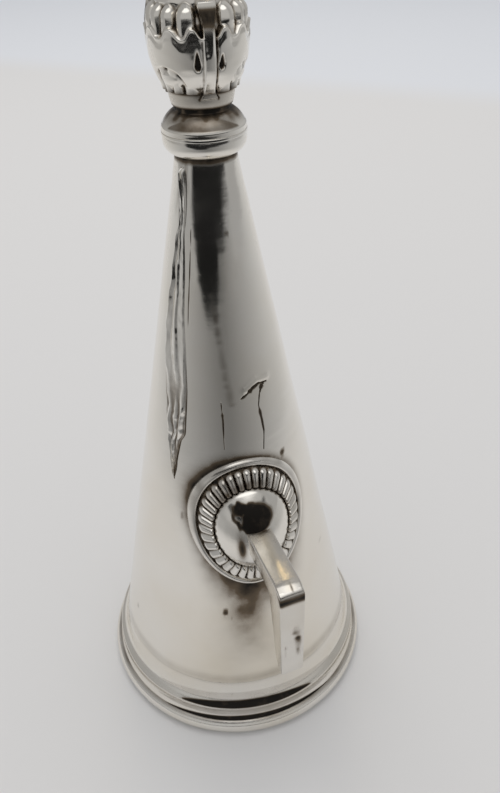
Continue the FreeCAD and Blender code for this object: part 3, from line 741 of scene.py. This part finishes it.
def bossSheet():
    angle = circle(boss["cols"])
    turns = angle / fullTurn
    share = np.linspace(0.03, 1, boss["rows"])[:, None]
    rise = boss["edge"] + boss["dome"] * (1 - share ** boss["domePower"])
    turned = np.clip((share - boss["rimFrom"]) / 0.07, 0, 1)
    rim = boss["rimDepth"] * (1 - np.sqrt(np.clip(1 - turned ** 2, 0, 1)))
    rise = rise - rim + 0.012 * grain(turns, share, 7, 5, 84) + 0.010 * grain(turns, share, 17, 11, 86)
    front = onRosette(boss["half"] * share, boss["tall"] * share, angle, plate["thick"] + rise)
    back = onRosette(boss["half"] * share, boss["tall"] * share, angle, boss["back"] + 0 * angle)
    stainAndShade = 0.35 * ease(0.95, 1.0, share) + 0 * angle
    side, over = share * np.sin(angle), share * np.cos(angle)
    flatSide, flatOver = side / 2 + 0.5, over / 2 + 0.5
    ragged = 0.30 * grain(flatSide, flatOver, 9, 9, 85) + 0.16 * grain(flatSide, flatOver, 22, 22, 87)
    # Painted dark reflection of the camera over the dome's front, with some tarnish, its edge ragged on the
    # left
    aside = (side - boss["reflectionSide"]) / boss["reflectionHalf"]
    patch = np.hypot(aside, (over - boss["reflectionOver"]) / boss["reflectionTall"])
    patch = patch + ragged * (0.15 + 0.85 * ease(0.2, -0.2, side))
    darkReflection = 1.15 * (1 - ease(0.70, 1.05, patch))
    darkReflection = darkReflection + 0.85 * hump(side, -0.44, 0.09) * hump(over, -0.15, 0.30)  # painted dark reflection beside the hook's root
    return {"points": np.vstack([front, back[::-1]]), "ends": "caps",
            "stainAndShade": np.vstack([np.maximum(stainAndShade, darkReflection), stainAndShade * 0])}


makePiece("rosettePlate", [plateSheet()], finishes["rosette"], "rosette_plate")
makePiece("gadroonRing", [gadroonSheet()], finishes["rosette"], "gadroon_ring")
makePiece("bossCap", [bossSheet()], finishes["rosette"], "boss_cap")


# Hook: a flat bar bent down into a tongue, its edges rubbed round, on a tenon through the wall
hook = {"barTop": 30.95, "depth": 2.50, "width": 2.60, "reach": 21.00, "bend": 1.20, "corner": 1.20,
        "bottom": 18.20, "root": 2.75, "tip": 1.65, "toe": 0.90, "heel": 1.20, "tipWidth": 2.40, "skew": 5.4,
        "edge": 0.17, "crown": 0.08, "crownFrom": 4, "facetIn": 0.10, "facetDrop": 0.62, "faceDrop": 0.95,
        "worn": 0.012, "edgeSteps": 7, "lanes": 13, "spacing": 0.10, "softness": 0.24,
        "reflectionDrop": 1.30, "reflectionHeight": 0.48, "nickSide": 0.12, "nickIn": 0.75}
tenon = {"cols": 48, "profile": [(0.30, 0.0), (0.62, 0.05), (0.75, 0.22), (0.75, 3.6)],
         "inside": 0.3, "stainAndShade": 0.3}
seat = coneRadius(rosette["z"]) + (plate["thick"] + boss["edge"]) * slant  # where the bar meets the boss


def hookOutline():
    under, reach = hook["barTop"] - hook["depth"], hook["reach"]
    inner = reach - hook["root"]
    return [
        (seat, hook["barTop"]), (reach - hook["bend"], hook["barTop"]),
        (reach - hook["facetIn"], hook["barTop"] - hook["facetDrop"]),
        (reach, hook["barTop"] - hook["faceDrop"]), (reach, hook["bottom"]),
        (reach - hook["toe"], hook["bottom"]), (reach - hook["tip"], hook["bottom"] + hook["heel"]),
        (inner, under - hook["corner"]),
        (inner - hook["corner"], under, hook["corner"] * (1 - math.sqrt(0.5))), (seat, under),
    ]


def hookBar():
    under, reach, edge = hook["barTop"] - hook["depth"], hook["reach"], hook["edge"]
    loop = roundedLoop(bowed(hookOutline()), hook["spacing"], hook["softness"])
    ahead = np.roll(loop, -1, 0) - np.roll(loop, 1, 0)
    inward = np.stack([ahead[:, 1], -ahead[:, 0]], 1) / np.hypot(ahead[:, 0], ahead[:, 1])[:, None]
    upward = np.clip(-inward[:, 1], 0, 1)
    down = np.clip((under - loop[:, 1]) / (under - hook["bottom"]), 0, 1)
    half = hook["width"] / 2 + (hook["tipWidth"] - hook["width"]) / 2 * down
    quarter = np.linspace(0, np.pi / 2, hook["edgeSteps"])
    bends = [(edge * (math.sin(b) - 1), edge * (1 - math.cos(b))) for b in quarter]
    # Lanes across the bar: the side, the pull from it and the dip of each
    lanes = [(-1, -pull, dip) for pull, dip in bends[::-1]]
    lanes += [(share, share * -edge, 0.0) for share in np.linspace(-0.9, 0.9, hook["lanes"])]
    lanes += [(1, pull, dip) for pull, dip in bends]
    turns = np.linspace(0, 1, len(loop), endpoint=False)
    grid = []
    for number, (share, pull, dip) in enumerate(lanes):
        x = share * half + pull
        worn = hook["worn"] * (1 + grain(turns, 0 * turns + number / len(lanes), 26, 3, 91)) / 2
        crown = hook["crown"] * (x / half) ** 2 * upward * ease(seat - hook["crownFrom"], reach, loop[:, 0])
        place = loop + inward * (dip + worn + crown)[:, None]
        grid.append(np.stack([x, -place[:, 0], place[:, 1]], -1))
    grid = np.stack(grid)
    x, y, z = grid[..., 0].copy(), grid[..., 1] + seat, grid[..., 2]
    out = -grid[..., 1].copy()
    flatTop = upward[None, :] * (z > hook["barTop"] - 0.4)
    front = hump(out, reach, 0.35)
    blot = 0.6 + 0.6 * grain(turns[None, :], np.linspace(0, 1, len(lanes))[:, None], 90, 8, 92)
    marks = hump(z, 23.4, 1.8) * hump(x, 0.58, 0.30) + 0.8 * hump(z, 24.6, 0.9) * hump(x, 0.20, 0.30)
    marks = marks + 0.45 * hump(z, 22.4, 1.2) * hump(x, -0.75, 0.10)
    nick = hump(x, hook["nickSide"], 0.06) * hump(out, reach - hook["nickIn"], 0.45)
    nick = nick * (z > hook["barTop"] - 0.5)
    root = hump(out, seat + 1.6, 0.6)
    sides = 0.17 * (1 - hump(x, 0.05, 0.75)) * flatTop
    dark = hump(z, hook["barTop"] - hook["reflectionDrop"], hook["reflectionHeight"])  # painted dark reflection just under the bend
    dark = dark * ease(reach - 0.7, reach - 0.45, out) * ease(-0.6, 0.1, blot)
    stainAndShade = [marks * front * blot, 0.9 * nick, 0.55 * root * blot, 0.09 * front, dark, sides]
    wear = 0.7 * hump(x, 0.05, 0.5) * flatTop
    skew = math.radians(hook["skew"])
    grid[..., 0] = x * math.cos(skew) - y * math.sin(skew)
    grid[..., 1] = x * math.sin(skew) + y * math.cos(skew) - seat
    return {"points": grid, "ends": "caps", "stainAndShade": np.maximum.reduce(stainAndShade), "wear": wear}


def hookTenon():
    angle = circle(tenon["cols"])
    shape = np.array(tenon["profile"])  # radius, and distance from the inner end
    r, y = shape[:, :1], shape[:, 1:] + coneRadius(rosette["z"], -cone["sheet"]) - tenon["inside"]
    points = pointGrid(r * np.cos(angle), -y, rosette["z"] + r * np.sin(angle))
    return {"points": points, "ends": "caps", "stainAndShade": np.full(points.shape[:2], tenon["stainAndShade"])}


makePiece("hookCasting", [hookBar(), hookTenon()], finishes["hook"], "hook")

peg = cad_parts["locating_peg"]
peg.data.materials.clear()
peg.data.materials.append(finishes["cast"])


# Stage: a pale table with a cooler far part, and graded cards that only the silver sees
stageLook = {"table": (0.735, 0.73, 0.725, 1), "far": (0.745, 0.765, 0.80, 1), "farFrom": 282.0,
             "farTurn": -39.6, "farSoft": 20, "tableHalf": 900.0, "tableRough": 0.85, "tableShine": 0.2,
             "cardRadius": 500.0, "cardSide": 150, "cardMiddle": 55, "room": 0.36, "ceiling": 0.46,
             "overhead": 0.75, "rightGlow": 0.10, "cameraTurn": -8,  # degrees from the hook
             "frontLeft": (-88, -60), "frontRight": (44, 72), "dimmest": 0.09, "brighten": 0.0055,
             "apronHeight": 0.4, "apronFrom": (45, 110), "apronSides": (120, 150), "apronDim": 0.135,
             "apronBrighten": 0.0037, "apronBrightest": 0.62, "shadeRadius": 67.0, "shadeTop": 73,
             "shadeLeft": (-70, -58), "shadeRight": (46, 58), "dark": 0.012}
shadeLower = [(-70, 62), (-65, 60), (-50, 52), (-29, 43), (-12, 45), (1, 55), (12, 55), (28, 60), (46, 62),
              (60, 65), (70, 70)]  # (degrees, z) of the dark card's lower edge


def tableFinish():
    finish = bpy.data.materials.new("paleTable")
    finish.use_nodes = True
    nodes, links = finish.node_tree.nodes, finish.node_tree.links
    shader = nodes["Principled BSDF"]
    field = nodes.new("ShaderNodeAttribute")
    field.attribute_name = "far"
    blend = nodes.new("ShaderNodeMix")
    blend.data_type = "RGBA"
    blend.inputs[6].default_value, blend.inputs[7].default_value = stageLook["table"], stageLook["far"]
    links.new(field.outputs["Fac"], blend.inputs[0])
    links.new(blend.outputs[2], shader.inputs["Base Color"])
    shader.inputs["Roughness"].default_value = stageLook["tableRough"]
    shader.inputs["Specular IOR Level"].default_value = stageLook["tableShine"]
    return finish


def cardFinish(name):  # shows the field "glow", and lets through where the field "veil" is low
    finish = bpy.data.materials.new(name)
    finish.use_nodes = True
    nodes, links = finish.node_tree.nodes, finish.node_tree.links
    nodes.remove(nodes["Principled BSDF"])
    fields = {}
    for field in ("glow", "veil"):
        fields[field] = nodes.new("ShaderNodeAttribute")
        fields[field].attribute_name = field
    shine = nodes.new("ShaderNodeEmission")
    clear = nodes.new("ShaderNodeBsdfTransparent")
    blend = nodes.new("ShaderNodeMixShader")
    links.new(fields["glow"].outputs["Fac"], shine.inputs["Strength"])
    links.new(fields["veil"].outputs["Fac"], blend.inputs[0])
    links.new(clear.outputs[0], blend.inputs[1])
    links.new(shine.outputs[0], blend.inputs[2])
    links.new(blend.outputs[0], nodes["Material Output"].inputs["Surface"])
    finish.cycles.emission_sampling = "NONE"
    return finish


def stagePiece(name, grid, finish, fields):  # grid of points in mm
    rows, cols = grid.shape[:2]
    index = np.arange(rows * cols).reshape(rows, cols)
    faces = np.stack([index[:-1, :-1], index[:-1, 1:], index[1:, 1:], index[1:, :-1]], -1).reshape(-1, 4)
    mesh = bpy.data.meshes.new(name)
    mesh.from_pydata((grid.reshape(-1, 3) * mm).tolist(), [], faces.tolist())
    mesh.materials.append(finish)
    piece = bpy.data.objects.new(name, mesh)
    bpy.context.scene.collection.objects.link(piece)
    for field, values in fields.items():
        layer = mesh.attributes.new(field, "FLOAT", "POINT")
        layer.data.foreach_set("value", np.broadcast_to(values, (rows, cols)).astype(np.float32).ravel())
    return piece


def silverOnly(piece):
    piece.visible_camera = piece.visible_diffuse = piece.visible_shadow = piece.visible_transmission = False


tableHalf, farFrom, farTurn = stageLook["tableHalf"], stageLook["farFrom"], math.radians(stageLook["farTurn"])
away = np.concatenate([[-tableHalf], farFrom + np.linspace(-24, 24, 13), [tableHalf]])[:, None]
sideways = np.array([[-tableHalf, tableHalf]])
table = pointGrid(sideways * math.cos(farTurn) - away * math.sin(farTurn),
                  sideways * math.sin(farTurn) + away * math.cos(farTurn), 0.0)
farField = ease(-stageLook["farSoft"], stageLook["farSoft"], away - farFrom)
stagePiece("table", table, tableFinish(), {"far": farField})

cardLook = cardFinish("gradedCard")
side = np.linspace(-stageLook["cardSide"], stageLook["cardSide"], 121)[None, :]  # degrees from the hook
aside = side - stageLook["cameraTurn"]
turn = np.radians(side)

# Glowing card for the room in front, a painted reflection seen only in the silver: dim low down, with a
# bright ceiling
up = np.concatenate([np.linspace(-6.2, 6, 30), np.linspace(7, 84, 40)])[:, None]
front = ease(*stageLook["frontLeft"], side) * (1 - ease(*stageLook["frontRight"], side))
low = np.clip(stageLook["dimmest"] + stageLook["brighten"] * np.abs(aside), 0, stageLook["room"])
high = stageLook["room"] + (stageLook["ceiling"] - stageLook["room"]) * front
high = high + stageLook["rightGlow"] * ease(70, 115, side)
glow = low + (high - low) * ease(-2, 6, up) + stageLook["overhead"] * front * ease(46, 58, up)
reach, lift = stageLook["cardRadius"], np.radians(up)
dome = roundPoints(reach * np.cos(lift), turn, stageLook["cardMiddle"] + reach * np.sin(lift))
silverOnly(stagePiece("frontCard", dome, cardLook, {"glow": glow, "veil": 1.0}))

# Glowing card for the table in front, shaded by the camera, a painted reflection seen only in the silver
reach = np.linspace(40, 500, 60)[:, None]
glow = stageLook["apronDim"] + stageLook["apronBrighten"] * np.hypot(aside, 9)
glow = np.clip(glow, 0, stageLook["apronBrightest"]) + 0 * reach
veil = ease(*stageLook["apronFrom"], reach) * (1 - ease(*stageLook["apronSides"], np.abs(aside)))
apron = roundPoints(reach, turn, stageLook["apronHeight"])
silverOnly(stagePiece("floorCard", apron, cardLook, {"glow": glow, "veil": veil}))

# The dark body of the camera, close in front
z = np.linspace(36, 88, 90)[:, None]
veil = ease(-2.5, 2.5, z - softCurve(side, shadeLower, 3.0)) * (1 - ease(-3, 3, z - stageLook["shadeTop"]))
veil = veil * ease(*stageLook["shadeLeft"], side) * (1 - ease(*stageLook["shadeRight"], side))
shade = roundPoints(stageLook["shadeRadius"], turn, z)
silverOnly(stagePiece("cameraCard", shade, cardLook, {"glow": stageLook["dark"], "veil": veil}))
print("stage made")

sky = {"tint": (0.975, 0.98, 1.0, 1), "strength": 0.62}  # the silver sees the room's level instead
world = bpy.data.worlds.new("softRoom")
bpy.context.scene.world = world
world.use_nodes = True
skyNodes, skyLinks = world.node_tree.nodes, world.node_tree.links
backdrop = skyNodes["Background"]
backdrop.inputs["Color"].default_value = sky["tint"]
seen = skyNodes.new("ShaderNodeLightPath")
strength = skyNodes.new("ShaderNodeMapRange")
strength.inputs["To Min"].default_value = sky["strength"]
strength.inputs["To Max"].default_value = stageLook["room"]
skyLinks.new(seen.outputs["Is Glossy Ray"], strength.inputs["Value"])
skyLinks.new(strength.outputs["Result"], backdrop.inputs["Strength"])

lamps = {  # places and sizes in metres
    "overhead": {"at": (0.03, 0.24, 0.70), "aim": (0.03, 0.22, 0.0), "size": 0.48, "watts": 1.75,
                 "tint": (1.0, 0.985, 0.96), "mirrored": False},
    "warmLamp": {"at": (0.096, 0.372, 0.460), "aim": (0.0, 0.0, 0.03), "size": 0.075, "watts": 0.065,
                 "tint": (1.0, 0.78, 0.45), "mirrored": True},
}
for name, spec in lamps.items():
    light = bpy.data.lights.new(name, "AREA")
    light.size = spec["size"]
    light.energy = spec["watts"]
    light.color = spec["tint"]
    lamp = bpy.data.objects.new(name, light)
    bpy.context.scene.collection.objects.link(lamp)
    lamp.location = spec["at"]
    lamp.visible_glossy = spec["mirrored"]
    lamp.rotation_euler = (Vector(spec["aim"]) - Vector(spec["at"])).to_track_quat("-Z", "Y").to_euler()
print("lights made")

# Camera close above the hook, looking down at the cone
view = {"at": (-13.50, -62.44, 86.02), "yaw": 14.886, "pitch": 36.432, "roll": -2.277, "focalPixels": 733.0,
        "tall": 793.0, "sensor": 36.0, "nearest": 0.001}
yaw, pitch, roll = (math.radians(view[key]) for key in ("yaw", "pitch", "roll"))
ahead = Vector((math.sin(yaw) * math.cos(pitch), math.cos(yaw) * math.cos(pitch), -math.sin(pitch)))
level = Vector((math.cos(yaw), -math.sin(yaw), 0.0))
above = level.cross(ahead)
right = level * math.cos(roll) + above * math.sin(roll)
top = above * math.cos(roll) - level * math.sin(roll)
lens = bpy.data.cameras.new("camera")
lens.sensor_width = view["sensor"]
lens.lens = view["focalPixels"] * lens.sensor_width / view["tall"]
lens.clip_start = view["nearest"]
camera = bpy.data.objects.new("camera", lens)
bpy.context.scene.collection.objects.link(camera)
facing = Matrix((right, top, -ahead)).transposed().to_4x4()
camera.matrix_world = Matrix.Translation(Vector(view["at"]) * mm) @ facing
bpy.context.scene.camera = camera
bpy.context.scene.view_settings.view_transform = "Standard"
print("camera set")
